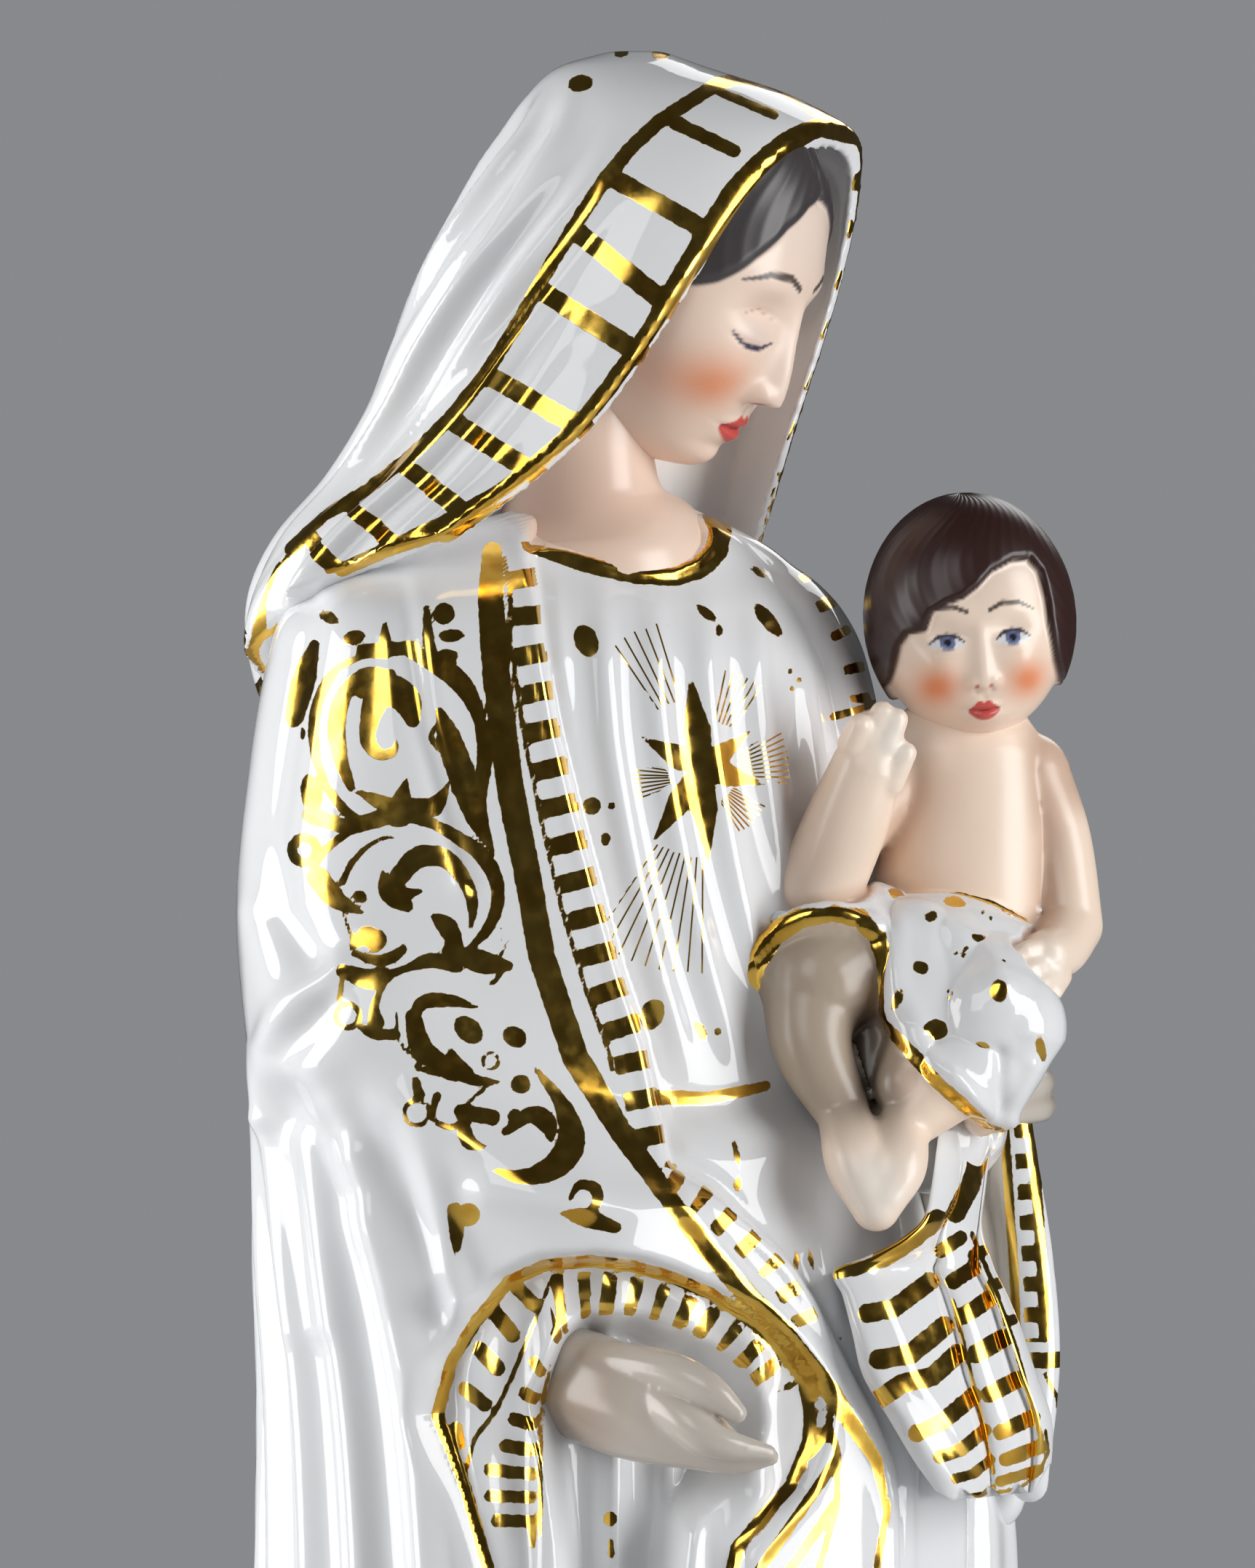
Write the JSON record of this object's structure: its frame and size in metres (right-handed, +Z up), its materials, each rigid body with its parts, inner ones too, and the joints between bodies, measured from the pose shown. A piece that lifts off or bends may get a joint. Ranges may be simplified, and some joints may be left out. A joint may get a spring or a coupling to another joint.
{
  "type": "porcelain madonna figurine",
  "caption": "Standing glazed figurine of a veiled mother in a long mantle with a child on her left arm, on a low round base.",
  "frame": {"origin": "centre of the base's underside", "axes": "+Z up, her breast faces -Y, her left hand is at +X"},
  "size_m": [0.124, 0.124, 0.38],
  "materials": {
    "glazed_porcelain": "clear high-gloss glaze with burnished gilding"
  },
  "bodies": {
    "root": {"mother_and_child": "glazed_porcelain"}
  },
  "joints": []
}
